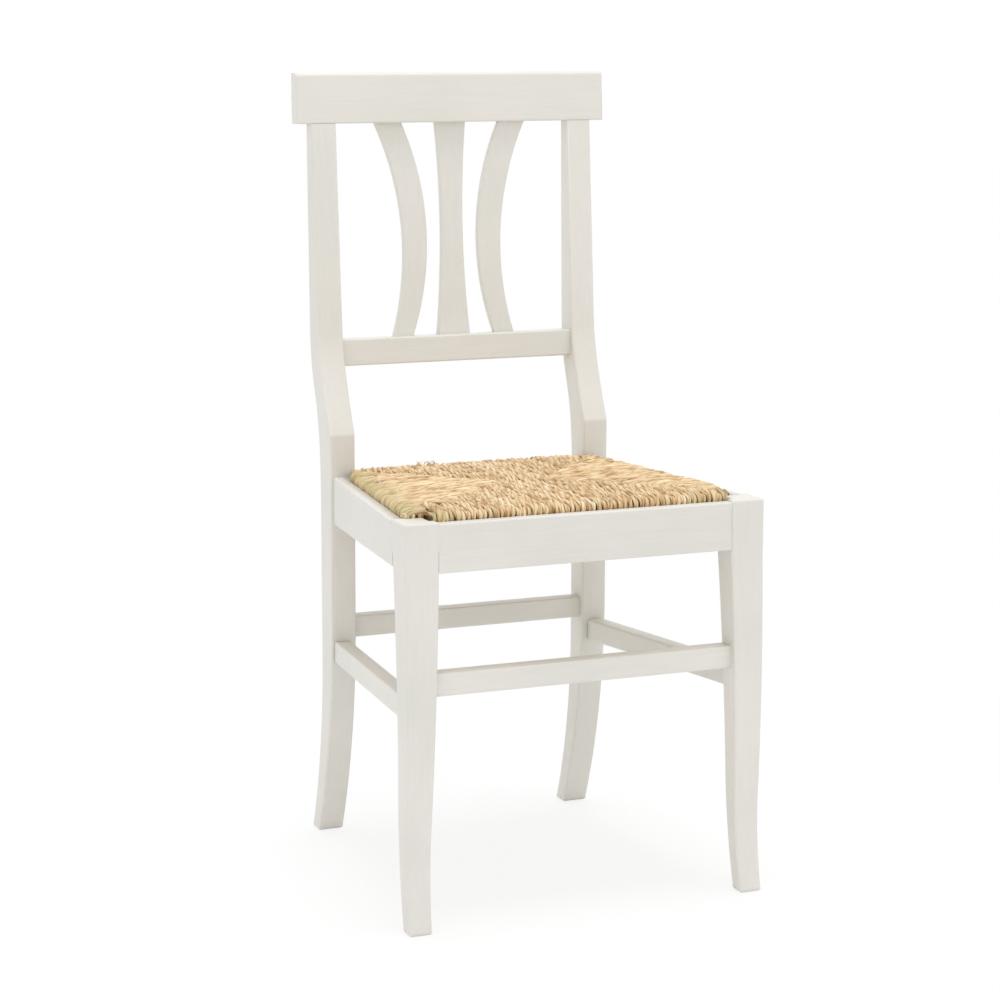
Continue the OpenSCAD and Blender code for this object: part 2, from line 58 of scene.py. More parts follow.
# %% [markdown]
# ## Measures
#
# Nearly every size can be read from the frame, so nothing has to be fitted twice. The seat lies in
# the plane of the front legs' tops, which falls a little to the back. Working in that plane, with
# `u` across, `v` from front to back and `w` up, keeps the weaving simple: one matrix at the end
# puts the seat in the chair. The front rail stands a little behind the faces of the legs, and the
# back rail a little behind those of the posts.

# %% Measure the seat
MM = 0.001
FRONT_RAIL_RECESS = 1 * MM
BACK_RAIL_RECESS = 2 * MM
SEAT_FALL = 5 * MM
leg_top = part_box("front_leg_left")[1].z
leg_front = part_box("front_seat_rail")[0].y - FRONT_RAIL_RECESS
post_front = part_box("back_seat_rail")[0].y - BACK_RAIL_RECESS
seat_run = post_front - leg_front
seat_tilt = math.atan(SEAT_FALL / seat_run)
print("legs end at %.3f m, seat run %.3f m, fall %.2f degrees" % (leg_top, seat_run, math.degrees(seat_tilt)))

# %% [markdown]
# ## Camera
#
# The chair is seen from its left front corner, a little from above, with a long lens so that its
# uprights stay almost parallel. The small shift keeps the chair centred without tilting the camera,
# which would make the legs converge.

# %% Camera
CAMERA_ACROSS = -1.2259
CAMERA_BEFORE_LEGS = 2.6843
CAMERA_HEIGHT = 1.0069
CAMERA_TURN_DEGREES = (79.597, -0.178, -22.598)
LENS_MM = 98.0
SHIFT_UP = 0.0064

camera_data = bpy.data.cameras.new("camera")
camera = bpy.data.objects.new("camera", camera_data)
bpy.context.collection.objects.link(camera)
camera.location = (CAMERA_ACROSS, leg_front - CAMERA_BEFORE_LEGS, CAMERA_HEIGHT)
camera.rotation_euler = [math.radians(turn) for turn in CAMERA_TURN_DEGREES]
camera_data.sensor_width = 36
camera_data.lens = LENS_MM
camera_data.shift_y = SHIFT_UP
camera_data.clip_end = 50
bpy.context.scene.camera = camera
print("camera:", camera_data.lens, "mm lens")

# %% [markdown]
# ## Node helpers
#
# Every finish here is procedural: noise and ramps on the coordinates of the object, or on
# attributes that follow the cords. Three short helpers keep the materials readable: one starts a
# material, one adds a node with its settings, and one joins sockets.


# %% Node helpers
class Finish:
    """A material under construction, with short ways to add and join its nodes."""

    def __init__(self, name):
        self.material = bpy.data.materials.new(name)
        self.material.use_nodes = True
        self.tree = self.material.node_tree
        self.shader = self.tree.nodes["Principled BSDF"]

    def node(self, kind, inputs=(), **settings):
        """Adds a node. Inputs maps a socket's name or number to a value or to another socket."""
        node = self.tree.nodes.new("ShaderNode" + kind)
        for name, value in settings.items():
            setattr(node, name, value)
        for socket, value in dict(inputs).items():
            self.join(value, node.inputs[socket])
        return node

    def join(self, value, socket):
        if isinstance(value, bpy.types.NodeSocket):
            self.tree.links.new(value, socket)
        else:
            socket.default_value = value

    def coordinates(self, scale):
        """The object's own coordinates, stretched along an axis for grain and brush marks."""
        place = self.node("TexCoord")
        return self.node("Mapping", {"Vector": place.outputs["Object"], "Scale": scale}).outputs["Vector"]

    def noise(self, vector, scale, detail=3.0, roughness=0.5):
        return self.node("TexNoise", {
            "Vector": vector, "Scale": scale, "Detail": detail, "Roughness": roughness,
        }).outputs["Fac"]

    def ramp(self, value, stops):
        """A colour ramp. Stops is a list of (position, colour)."""
        node = self.node("ValToRGB", {"Fac": value})
        band = node.color_ramp
        while len(band.elements) < len(stops):
            band.elements.new(0.5)
        for element, (position, color) in zip(band.elements, stops):
            element.position = position
            element.color = (*color, 1)
        return node.outputs["Color"]

    def between(self, value, low, high):
        """Maps a value from 0..1 to low..high."""
        return self.node("MapRange", {"Value": value, "To Min": low, "To Max": high}).outputs["Result"]

    def mixed(self, factor, a, b, blend="MIX"):
        node = self.node("Mix", data_type="RGBA", blend_type=blend)
        self.join(factor, node.inputs[0])
        self.join(a, node.inputs[6])
        self.join(b, node.inputs[7])
        return node.outputs[2]

    def math(self, operation, a, b=0.5):
        node = self.node("Math", operation=operation)
        self.join(a, node.inputs[0])
        self.join(b, node.inputs[1])
        return node.outputs[0]

    def bump(self, height, strength, distance, normal=None):
        inputs = {"Height": height, "Strength": strength, "Distance": distance}
        if normal is not None:
            inputs["Normal"] = normal
        return self.node("Bump", inputs).outputs["Normal"]


def linear(red, green, blue):
    """A display colour from 0 to 255 as the linear colour that a shader takes."""
    shown = (red / 255, green / 255, blue / 255)
    return tuple(((c + 0.055) / 1.055) ** 2.4 if c > 0.04045 else c / 12.92 for c in shown)


print("node helpers ready")

# %% [markdown]
# ## Off-white paint
#
# The paint is a thin satin lacquer brushed or sprayed over smooth wood. Three things keep it from
# looking like plastic: a slow drift of tone, faint streaks where brush and grain run along the
# piece, and a sheen that is a little uneven. The streaks must follow the grain, so the same finish
# is made three times, stretched along X, Y or Z.


# %% Off-white paint
STREAK_STRETCH = 0.035


def painted(name, along):
    """Satin off-white paint with its streaks along the axis given as 0, 1 or 2."""
    finish = Finish(name)
    streak_scale = [1.0, 1.0, 1.0]
    streak_scale[along] = STREAK_STRETCH
    whole = finish.coordinates((1, 1, 1))
    streaks = finish.noise(finish.coordinates(tuple(streak_scale)), 420, detail=4, roughness=0.6)
    drift = finish.noise(whole, 9, detail=2)
    tone = finish.ramp(drift, [(0.35, linear(218, 216, 209)), (0.65, linear(223, 220, 214))])
    streaked = finish.ramp(streaks, [(0.3, linear(250, 250, 248)), (0.7, linear(255, 255, 255))])
    color = finish.mixed(1.0, tone, streaked, blend="MULTIPLY")
    finish.join(color, finish.shader.inputs["Base Color"])
    sheen_drift = finish.noise(whole, 60, detail=2)
    finish.join(finish.between(sheen_drift, 0.38, 0.5), finish.shader.inputs["Roughness"])
    fine_grain = finish.noise(whole, 900, detail=1)
    brushed = finish.bump(streaks, 0.12, 0.2 * MM)
    finish.join(finish.bump(fine_grain, 0.05, 0.1 * MM, brushed), finish.shader.inputs["Normal"])
    return finish.material


paint_across = painted("paint_across", 0)
paint_deep = painted("paint_deep", 1)
paint_upright = painted("paint_upright", 2)
print("paint:", [m.name for m in (paint_across, paint_deep, paint_upright)])

# %% [markdown]
# ## Bare wood and steel
#
# Under the seat the corner blocks are left unpainted: planed softwood with its growth rings, which
# a wave texture bent by noise draws well. The screws are plain bright steel.


# %% Bare wood and screw steel
def bare_wood():
    finish = Finish("bare_wood")
    grain = finish.coordinates((1, 0.12, 1))
    bend = finish.noise(grain, 30, detail=3)
    rings = finish.node(
        "TexWave", {"Vector": grain, "Scale": 60, "Distortion": 6.0, "Detail": 3, "Detail Scale": 2},
        wave_type="BANDS", bands_direction="X").outputs["Fac"]
    tone = finish.ramp(rings, [(0.2, linear(205, 172, 124)), (0.8, linear(222, 193, 147))])
    patch = finish.ramp(bend, [(0.3, linear(232, 226, 216)), (0.7, linear(255, 255, 255))])
    finish.join(finish.mixed(1.0, tone, patch, blend="MULTIPLY"), finish.shader.inputs["Base Color"])
    finish.shader.inputs["Roughness"].default_value = 0.62
    finish.join(finish.bump(rings, 0.15, 0.3 * MM), finish.shader.inputs["Normal"])
    return finish.material


def screw_steel():
    finish = Finish("screw_steel")
    scuffs = finish.noise(finish.coordinates((1, 1, 1)), 700, detail=2)
    finish.shader.inputs["Base Color"].default_value = (*linear(172, 171, 167), 1)
    finish.shader.inputs["Metallic"].default_value = 1.0
    finish.join(finish.between(scuffs, 0.25, 0.42), finish.shader.inputs["Roughness"])
    return finish.material


wood = bare_wood()
steel = screw_steel()
print("underside finishes:", wood.name, steel.name)

# %% [markdown]
# ## Eased edges
#
# No edge on painted furniture is knife sharp: it is sanded, and the paint builds up on it, so it
# catches a soft line of light. A Bevel modifier makes that line, about 2 mm wide. Only edges in the
# open get it. Edges of tenons and mortises are buried, and a shoulder pressed against another piece
# stays crisp, which leaves the fine line of a glued joint. Casting a few rays from each edge tells
# whether it can be seen at all, and the distance to the nearest other piece whether it is a joint.

# %% Helpers for edges
OPEN_ANGLE = math.radians(25)
FOOT_ROUNDING = 5 * MM
JOINT_REACH = 1.6 * MM
RAYS = 60
RAY_LENGTH = 400 * MM
RAY_LIFT = 0.4 * MM
MERGE = 0.02 * MM
FLAT_ANGLE = math.radians(0.3)
SMOOTH_ANGLE = math.radians(40)
TALL = 300 * MM


def as_tree(node):
    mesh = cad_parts[node].data
    return BVHTree.FromPolygons([v.co for v in mesh.vertices], [p.vertices[:] for p in mesh.polygons])


trees = {node: as_tree(node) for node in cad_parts}
boxes = {node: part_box(node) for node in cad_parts}


def spread_directions(count):
    """Directions spread evenly over a sphere, along a spiral from pole to pole."""
    golden = math.pi * (3 - math.sqrt(5))
    result = []
    for i in range(count):
        z = 1 - 2 * (i + 0.5) / count
        around = math.sqrt(1 - z * z)
        result.append(Vector((math.cos(golden * i) * around, math.sin(golden * i) * around, z)))
    return result


directions = spread_directions(RAYS)


def neighbours(node):
    """The pieces whose boxes meet this one's."""
    low, high = boxes[node]
    reach = Vector((2 * MM,) * 3)

    def meets(lo, hi):
        return all(a <= b for a, b in zip(lo, high + reach)) and all(a <= b for a, b in zip(low - reach, hi))

    return [other for other, (lo, hi) in boxes.items() if other != node and meets(lo, hi)]


def in_the_open(point, normal, others):
    """True if some ray from just over a face gets away from the piece and its neighbours."""
    start = point + normal * RAY_LIFT
    return any(all(trees[o].ray_cast(start, d, RAY_LENGTH)[0] is None for o in others)
               for d in directions if d.dot(normal) > 0.25)


def edge_weight(edge, node, near):
    """How much of the full easing an edge gets."""
    if len(edge.link_faces) != 2 or edge.calc_face_angle(0) < OPEN_ANGLE:
        return 0.0
    start, end = (v.co for v in edge.verts)
    middle = (start + end) / 2
    along = (end - start).normalized()
    if middle.z < FOOT_ROUNDING or any(
            all(trees[o].find_nearest(p, JOINT_REACH)[0] for p in (start, middle, end)) for o in near):
        return 0.0
    for face in edge.link_faces:
        inward = along.cross(face.normal).normalized()
        if (face.calc_center_median() - middle).dot(inward) < 0:
            inward.negate()
        if in_the_open(middle + inward * 0.5 * MM, face.normal, [node, *near]):
            return 1.0
    return 0.0


print("edges: rays in", len(directions), "directions")


# %% [markdown]
# A frame piece arrives as loose triangles, so it is copied, its doubled corners are merged and its
# flat faces are joined before the edges are weighed. A tall piece, a leg or a post, is first cut
# across at the height of each joint, so that an edge can be open above a joint and crisp in it.
# Weighted normals keep the broad faces flat while the narrow rounded strips between them shade
# smoothly.


# %% Ease the edges of a frame piece
def only(obj):
    """Makes one object the selected and active one."""
    bpy.ops.object.select_all(action="DESELECT")
    obj.select_set(True)
    bpy.context.view_layer.objects.active = obj


def apply_all(obj):
    only(obj)
    for modifier in list(obj.modifiers):
        bpy.ops.object.modifier_apply(modifier=modifier.name)


def merged_copy(node, name, cuts):
    piece = bpy.data.objects.new(name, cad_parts[node].data.copy())
    bpy.context.collection.objects.link(piece)
    only(piece)
    bpy.ops.object.mode_set(mode="EDIT")
    bpy.ops.mesh.select_all(action="SELECT")
    bpy.ops.mesh.remove_doubles(threshold=MERGE)
    for height in cuts:
        bpy.ops.mesh.select_all(action="SELECT")
        bpy.ops.mesh.bisect(plane_co=(0, 0, height), plane_no=(0, 0, 1))
        bpy.ops.mesh.mark_seam()
    bpy.ops.mesh.select_all(action="SELECT")
    bpy.ops.mesh.dissolve_limited(angle_limit=FLAT_ANGLE, delimit={"SEAM"})
    bpy.ops.object.mode_set(mode="OBJECT")
    return piece


def finished(piece, node, material):
    """Gives a piece its material and its place in the chair."""
    piece.data.materials.clear()
    piece.data.materials.append(material)
    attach(piece, "root")
    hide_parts(node)
    return piece


def joint_height(node, other):
    """The height halfway up the part that two pieces share."""
    (low, high), (lo, hi) = boxes[node], boxes[other]
    return (max(low.z, lo.z) + min(high.z, hi.z)) / 2


def eased(node, name, easing, material):
    near = neighbours(node)
    upright = boxes[node][1].z - boxes[node][0].z > TALL
    piece = merged_copy(node, name, [joint_height(node, other) for other in near] if upright else [])
    mesh = bmesh.new()
    mesh.from_mesh(piece.data)
    weights = mesh.edges.layers.float.new("bevel_weight_edge")
    for edge in mesh.edges:
        edge[weights] = edge_weight(edge, node, near)
    count = sum(edge[weights] == 1 for edge in mesh.edges)
    mesh.to_mesh(piece.data)
    mesh.free()
    bevel = piece.modifiers.new("ease", "BEVEL")
    bevel.limit_method = "WEIGHT"
    bevel.width = easing
    bevel.segments = 3
    bevel.use_clamp_overlap = False
    bevel.loop_slide = False
    piece.modifiers.new("flat_faces", "WEIGHTED_NORMAL").keep_sharp = True
    only(piece)
    bpy.ops.object.shade_smooth_by_angle(angle=SMOOTH_ANGLE)
    apply_all(piece)
    print("%-24s %3d open edges eased, %d faces" % (name, count, len(piece.data.polygons)))
    return finished(piece, node, material)


# %% [markdown]
# ## The painted pieces
#
# One table says which piece gets which grain direction and how much its edges are eased. The legs
# and posts are handled most, so they are rounded most.

# %% Ease and paint every wooden piece
painted_pieces = [
    ("back_post_left", 2.2, paint_upright),
    ("back_post_right", 2.2, paint_upright),
    ("front_leg_left", 2.2, paint_upright),
    ("front_leg_right", 2.2, paint_upright),
    ("front_seat_rail", 1.8, paint_across),
    ("back_seat_rail", 1.8, paint_across),
    ("side_seat_rail_left", 1.8, paint_deep),
    ("side_seat_rail_right", 1.8, paint_deep),
    ("front_stretcher", 2.0, paint_across),
    ("back_stretcher", 2.0, paint_across),
    ("side_stretcher_left", 2.0, paint_deep),
    ("side_stretcher_right", 2.0, paint_deep),
    ("crest_rail", 1.8, paint_across),
    ("lower_back_rail", 1.8, paint_across),
    ("splat_left", 1.5, paint_upright),
    ("splat_centre", 1.5, paint_upright),
    ("splat_right", 1.5, paint_upright),
]
for node, easing, material in painted_pieces:
    eased(node, node + "_painted", easing * MM, material)

BLOCK_EASING = 0.8 * MM
for corner in ("front_left", "front_right", "back_left", "back_right"):
    eased("corner_block_" + corner, "block_" + corner, BLOCK_EASING, wood)

for node, material in {
    "seat_frame_front": wood, "seat_frame_back": wood, "seat_frame_left": wood, "seat_frame_right": wood,
    "corner_block_screws": steel, "seat_screws": steel,
}.items():
    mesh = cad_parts[node].data
    mesh.materials.clear()
    mesh.materials.append(material)
print("painted", len(painted_pieces), "pieces")

# %% [markdown]
# ## Rush seat: its outline
#
# Rush is a marsh plant. Its leaves are twisted by hand into one long cord, which is wound round the
# four bars of a loose frame, corner after corner, until four triangular panels meet in the middle.
# The finished seat drops into the rails. Its outline is read from the solid that the weave
# replaces: notched at the front for the legs, and at the back for the posts.

# %% Rush seat outline
seat_place = Matrix.Translation((0, leg_front, leg_top)) @ Matrix.Rotation(-seat_tilt, 4, "X")
to_seat = seat_place.inverted()
in_seat = [to_seat @ v.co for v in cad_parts["rush_seat"].data.vertices]
seat_bottom, seat_top = min(p.z for p in in_seat), max(p.z for p in in_seat)
front_edge, back_edge = min(p.y for p in in_seat), max(p.y for p in in_seat)


def widest(low, high):
    """Half the width of the seat between two depths, and the depth where it is widest."""
    best = max((p for p in in_seat if low < p.y < high), key=lambda p: round(p.x, 4))
    return best.x, best.y


front_half = widest(front_edge - MM, front_edge + MM)[0]
corner_half, notch_line = widest(front_edge, back_edge)
back_half = widest(back_edge - MM, back_edge + MM)[0]
post_line = max(p.y for p in in_seat if p.x > back_half + MM)
back_corner_half = widest(post_line - 0.2 * MM, post_line + 0.2 * MM)[0]
half_outline = [(front_half, front_edge), (front_half, notch_line), (corner_half, notch_line),
                (back_corner_half, post_line), (back_half, post_line), (back_half, back_edge)]
print("outline:", [(round(1000 * u, 1), round(1000 * v, 1)) for u, v in half_outline],
      "thickness %.1f mm" % (1000 * (seat_top - seat_bottom)))


def side_edge(v):
    """Half the width of the seat at a depth v between its front and back corners."""
    t = (v - notch_line) / (post_line - notch_line)
    return corner_half + t * (back_corner_half - corner_half)


# %% [markdown]
# ## Rush seat: the path of one cord
#
# Seen from the side, every cord runs the same way: up out of the seam, along the underside to the
# edge, round the bar in a squarish half circle, back along the top, and down into the seam. So one
# profile of distance from the edge and height serves all of them, stretched to the length of each
# run. The top is slightly crowned, because the middle of each panel is stuffed, and it sinks at the
# seams. Just above the rails the weave bulges out, so it hides the joint between seat and rail. At
# its seam a cord dives between its neighbours, and its cut end is lost in the stuffing.

# %% Path of a cord
CORD_R = 3.2 * MM
CORD_PITCH = 6.5 * MM
CROWN = 1.9 * MM
CROWN_RUN = 55 * MM
BULGE = 1.3 * MM
BULGE_HEIGHT = 1.5 * MM
BULGE_SPREAD = 3 * MM
SEAM_GAP = 4 * MM
SEAM_SINK = 1.3 * MM
SEAM_SLOPE = 14 * MM
TOP_STEP = 3 * MM
BOTTOM_STEP = 7 * MM
WRAP_STEPS = 12
top_edge_w = seat_top - CORD_R - CROWN
bottom_w = seat_bottom + CORD_R
wrap_r = (top_edge_w - bottom_w) / 2
wrap_w = (top_edge_w + bottom_w) / 2


def smooth(x):
    x = min(max(x, 0.0), 1.0)
    return x * x * (3 - 2 * x)


def cord_profile(run):
    """Distance from the edge and height, from the lower seam round the edge to the upper seam."""
    reach = min(wrap_r, 0.55 * run)
    points = [(run + 0.5 * MM, bottom_w + 6 * MM), (run - 1 * MM, bottom_w + 2.5 * MM)]
    flat = run - SEAM_GAP - reach
    count = max(1, round(flat / BOTTOM_STEP))
    for i in range(count):
        points.append((run - SEAM_GAP - flat * i / count, bottom_w))
    for i in range(WRAP_STEPS + 1):
        a = math.pi * i / WRAP_STEPS
        w = wrap_w - wrap_r * math.cos(a)
        bulge = BULGE * math.exp(-((w - BULGE_HEIGHT) / BULGE_SPREAD) ** 2)
        points.append((reach * (1 - math.sin(a) ** 0.5) - bulge, w))
    count = max(1, round(flat / TOP_STEP))
    for i in range(1, count + 1):
        d = reach + flat * i / count
        rise = CROWN * smooth(d / CROWN_RUN) - SEAM_SINK * smooth(1 - (run - d) / SEAM_SLOPE)
        points.append((d, top_edge_w + rise))
    end_w = points[-1][1]
    for past, deep in ((-1.2 * MM, 1.6 * MM), (0.3 * MM, 5 * MM), (0.6 * MM, 8 * MM)):
        points.append((run + past, end_w - deep))
    return points


print("wrap radius %.1f mm, points on a 100 mm run: %d" % (1000 * wrap_r, len(cord_profile(0.1))))

# %% [markdown]
# ## Rush seat: cords from curves
#
# A curve with a small closed curve as its bevel object becomes a rope: each point's tilt turns the
# section, so a three-lobed section with a steady tilt gives the twist, and each point's radius
# makes it thick and thin as hand-twisted rush is. The curve is then converted to a mesh. Its
# vertices come out ring by ring, so it is easy to store on them how far along the cord and how far
# round it they are, which the material needs to lay its fibres along the twist. Along the cord that
# measure runs much more slowly than round it, so the fibres come out long, and each strand starts
# at another value, so no two look alike.


# %% Cord section and conversion
def closed_section(name, radii):
    """A closed curve through points at the given radii, to sweep along the cords."""
    curve = bpy.data.curves.new(name, "CURVE")
    curve.dimensions = "2D"
    spline = curve.splines.new("POLY")
    spline.points.add(len(radii) - 1)
    for i, r in enumerate(radii):
        a = 2 * math.pi * i / len(radii)
        spline.points[i].co = (r * math.cos(a), r * math.sin(a), 0, 1)
    spline.use_cyclic_u = True
    return curve


LOBES = (1.0, 0.93, 0.76, 0.93) * 3
LEAF_ALONG = 50
LEAF_ROUND = 3.3
LEAF_OFFSET = 31.7


def swept(name, strands, radii, slot="rush"):
    """One mesh of many strands. A strand has points, sizes, tilts, tone and green."""
    section = bpy.data.objects.new(name + "_section", closed_section(name + "_section", radii))
    curve = bpy.data.curves.new(name, "CURVE")
    curve.dimensions = "3D"
    curve.bevel_mode = "OBJECT"
    curve.bevel_object = section
    for strand in strands:
        spline = curve.splines.new("POLY")
        spline.points.add(len(strand["points"]) - 1)
        spline.points.foreach_set("co", [c for p in strand["points"] for c in (*p, 1.0)])
        spline.points.foreach_set("radius", strand["sizes"])
        spline.points.foreach_set("tilt", strand["tilts"])
    piece = bpy.data.objects.new(name, curve)
    bpy.context.collection.objects.link(section)
    bpy.context.collection.objects.link(piece)
    only(piece)
    bpy.ops.object.convert(target="MESH")
    piece = bpy.context.object
    bpy.data.objects.remove(section)

    sides = len(radii)
    along, tone, green = [], [], []
    for number, strand in enumerate(strands):
        path = np.array([tuple(p) for p in strand["points"]])
        steps = np.concatenate([[0], np.cumsum(np.linalg.norm(np.diff(path, axis=0), axis=1))])
        along += list(steps * LEAF_ALONG + LEAF_OFFSET * number)
        tone += list(strand["tone"])
        green += list(strand["green"])
    turn = 2 * np.pi * np.arange(sides) / sides
    leaf = np.zeros((len(along), sides, 3))
    leaf[:, :, 0] = np.array(along)[:, None]
    leaf[:, :, 1] = LEAF_ROUND * np.cos(turn)
    leaf[:, :, 2] = LEAF_ROUND * np.sin(turn)
    valley = 1 - (np.array(radii) - min(radii)) / max(max(radii) - min(radii), 1e-9)
    values = {
        "leaf": ("FLOAT_VECTOR", "vector", leaf.reshape(-1)),
        "tone": ("FLOAT", "value", np.repeat(tone, sides)),
        "green": ("FLOAT", "value", np.repeat(green, sides)),
        "valley": ("FLOAT", "value", np.tile(valley, len(along))),
    }
    for key, (kind, field, numbers) in values.items():
        piece.data.attributes.new(key, kind, "POINT").data.foreach_set(field, numbers.astype(np.float32))
    bpy.ops.object.mode_set(mode="EDIT")
    bpy.ops.mesh.select_all(action="SELECT")
    bpy.ops.mesh.fill_holes(sides=sides)
    bpy.ops.mesh.select_all(action="SELECT")
    bpy.ops.mesh.normals_make_consistent(inside=False)
    bpy.ops.object.mode_set(mode="OBJECT")
    bpy.ops.object.shade_smooth()
    print("%-14s %4d strands, %6d faces" % (name, len(strands), len(piece.data.polygons)))
    return piece


# %% [markdown]
# ## Rush material
#
# Dry rush is straw coloured with paler and darker leaves side by side, and some that kept a little
# green. Noise stretched along the cord draws the leaves. The grooves between the strands are painted
# darker, as painted shade, by the valley of each cord's section. The leaves are slightly glossy, so
# the roughness stays below that of cloth, and fine ridges along them come from a bump that follows the same
# noise.


# %% Rush material
def rush_material():
    finish = Finish("rush")

    def stored(name, output="Fac"):
        return finish.node("Attribute", attribute_name=name).outputs[output]

    leaf = stored("leaf", "Vector")
    leaves = finish.noise(leaf, 0.9, detail=3, roughness=0.6)
    ridges = finish.noise(leaf, 2.6, detail=2)
    patches = finish.noise(finish.coordinates((1, 1, 1)), 38, detail=2)
    shade = finish.math("ADD", finish.between(leaves, -0.62, 0.62), stored("tone"))
    shade = finish.math("ADD", shade, finish.between(patches, -0.3, 0.3))
    straw = finish.ramp(shade, [
        (0.0, linear(150, 114, 70)), (0.28, linear(203, 170, 125)), (0.5, linear(229, 200, 157)),
        (0.75, linear(242, 220, 184)), (1.0, linear(250, 239, 214))])
    leaf_green = finish.math("MULTIPLY", stored("green"), finish.between(leaves, 0.1, 1.7))
    olive = finish.mixed(leaf_green, straw, (*linear(186, 180, 132), 1))
    # painted shade: the valleys between the lobes of each cord are darkened in the colour
    groove_painted_shade = finish.ramp(stored("valley"), [(0.45, linear(255, 255, 255)), (1.0, linear(205, 182, 148))])
    color = finish.mixed(1.0, olive, groove_painted_shade, blend="MULTIPLY")
    finish.join(color, finish.shader.inputs["Base Color"])
    finish.join(finish.between(ridges, 0.42, 0.68), finish.shader.inputs["Roughness"])
    finish.join(finish.bump(ridges, 0.5, 0.0006), finish.shader.inputs["Normal"])
    return finish.material


def stuffing_in_painted_shade():
    finish = Finish("rush_stuffing_painted_shade")
    straw = finish.noise(finish.coordinates((1, 1, 1)), 400, detail=3)
    # painted shade: the real stuffing is given a dark brown that stands for the shade in the gaps between the
    # cords
    color = finish.ramp(straw, [(0.3, linear(92, 66, 38)), (0.7, linear(148, 114, 72))])
    finish.join(color, finish.shader.inputs["Base Color"])
    finish.shader.inputs["Roughness"].default_value = 0.85
    finish.join(finish.bump(straw, 0.6, 0.001), finish.shader.inputs["Normal"])
    return finish.material


rush = rush_material()
print("materials:", rush.name, "and its stuffing")

# %% [markdown]
# ## Rush seat: four panels
#
# The cords of the front and back panels run from front to back, those of the side panels across.
# They meet along four seams that start in the corners, and since the seat is wider than it is
# deep, the front and back panels also meet along a short seam in the middle. Hand work is never
# even: each cord gets its own thickness, height, twist and tone, and it wanders a little.

# %% Seams
seam_half = 27 * MM
seam_line = (notch_line + post_line) / 2


def seam_depth(u, front):
    """The depth at which a cord of the front or back panel meets its seam."""
    corner, half = (notch_line, front_half) if front else (post_line, back_corner_half)
    t = max(0.0, (abs(u) - seam_half) / (half - seam_half))
    return seam_line + t * (corner - seam_line)


def seam_width(v):
    """How far from the middle a cord of a side panel meets its seam."""
    corner, half = (notch_line, front_half) if v < seam_line else (post_line, back_corner_half)
    return seam_half + abs(v - seam_line) / abs(corner - seam_line) * (half - seam_half)


print("seams meet %.0f mm from the middle, at depth %.0f mm" % (1000 * seam_half, 1000 * seam_line))


# %% Strand by strand
hand = random.Random(23)
# SHADED and SHADED_RUN: painted shade, how much darker the cords are where they turn down over the edge
SHADED = 0.05
SHADED_RUN = 7 * MM
GREEN_RUN = 32 * MM
WORN_RUN = 24 * MM
WORN_SINK = 5 * MM


def wander(amount, wavelength):
    """A smooth random wave, as a function of length."""
    waves = []
    for n in (1, 2, 3):
        length = hand.uniform(0.6, 1.4) * wavelength / n
        waves.append((length, hand.uniform(0, 2 * math.pi), amount / n))
    return lambda s: sum(a * math.sin(2 * math.pi * s / w + p) for w, p, a in waves)


def strand(edge, inward, run, turn, size=1.0, lift=0.0, thin=0.0, green=0.0):
    """A cord from its place on the edge. Edge and inward are points (u, v) of the seat.

    It makes one twist in each length of turn, it is thin towards its seam where it is worn, and its
    colour is a little darker where it goes down over the edge, as painted shade.
    """
    aside = (-inward[1], inward[0])
    sideways, upright = wander(0.45 * MM, 60 * MM), wander(0.4 * MM, 45 * MM)
    swell, drift = wander(0.1, 30 * MM), wander(0.12, 50 * MM)
    size *= hand.uniform(0.86, 1.14)
    lift += hand.uniform(-0.8, 0.6) * MM
    twist = 2 * math.pi / (hand.uniform(0.85, 1.2) * turn)
    phase = hand.uniform(0, 2 * math.pi)
    tone = hand.gauss(0.47, 0.085)
    run += hand.uniform(-3.5, 3.0) * MM
    points, s = [], 0.0
    result = {"points": points, "sizes": [], "tilts": [], "tone": [], "green": []}
    for d, w in cord_profile(run):
        x = sideways(s)
        worn = thin * smooth((d - run + WORN_RUN) / (8 * MM)) if w > wrap_w else 0.0
        raised = (upright(s) + lift - WORN_SINK * worn) * (1 if w > wrap_w else -1)
        u = edge[0] + inward[0] * d + aside[0] * x
        v = edge[1] + inward[1] * d + aside[1] * x
        here = seat_place @ Vector((u, v, w + raised * smooth(d / (8 * MM))))
        s += (here - points[-1]).length if points else 0
        points.append(here)
        result["sizes"].append(size * (1 + swell(s)) * (1 - worn))
        result["tilts"].append(phase + twist * s)
        # painted shade: the tone drops near the edge, where the cord turns down over the bar
        result["tone"].append(tone + drift(s) - SHADED * (1 - smooth(d / SHADED_RUN)))
        result["green"].append(min(1.0, max(0.0, green * (1 - smooth(d / GREEN_RUN)) + drift(s))))
    return result


def spread(low, high):
    """Even places for cords between two ends, close to the pitch of the weave."""
    count = round((high - low) / CORD_PITCH) + 1
    return [low + (high - low) * i / (count - 1) for i in range(count)]


# %% [markdown]
# The weave isn't the same all over. The cords of the side panels are twisted less, so their leaves
# lie as long streaks. The left edge and the corners kept more green. At the right front corner, and
# less so at the left back post, the cords are drawn in and lie lower. Near the left front corner
# the weave is worn: two cords have shrunk, which leaves dark slits, and beside them one wide strand
# has risen over its neighbours. Short cords close the notch there, under the last long one.


# %% Weave the panels
FRONT_TURN = 62 * MM
SIDE_TURN = 85 * MM
DRAWN_IN = 12 * MM
DRAWN_DOWN = 2.4 * MM
SHORTEST = 10 * MM
OLIVE_REACH = 55 * MM
WORN_CORDS = (1, 6)


def olive_at(place, low, high):
    """Cords near the corners kept more of their green."""
    edge = min(place - low, high - place)
    return max(0.0, hand.uniform(-0.3, 0.45) + 0.55 * (1 - edge / OLIVE_REACH))


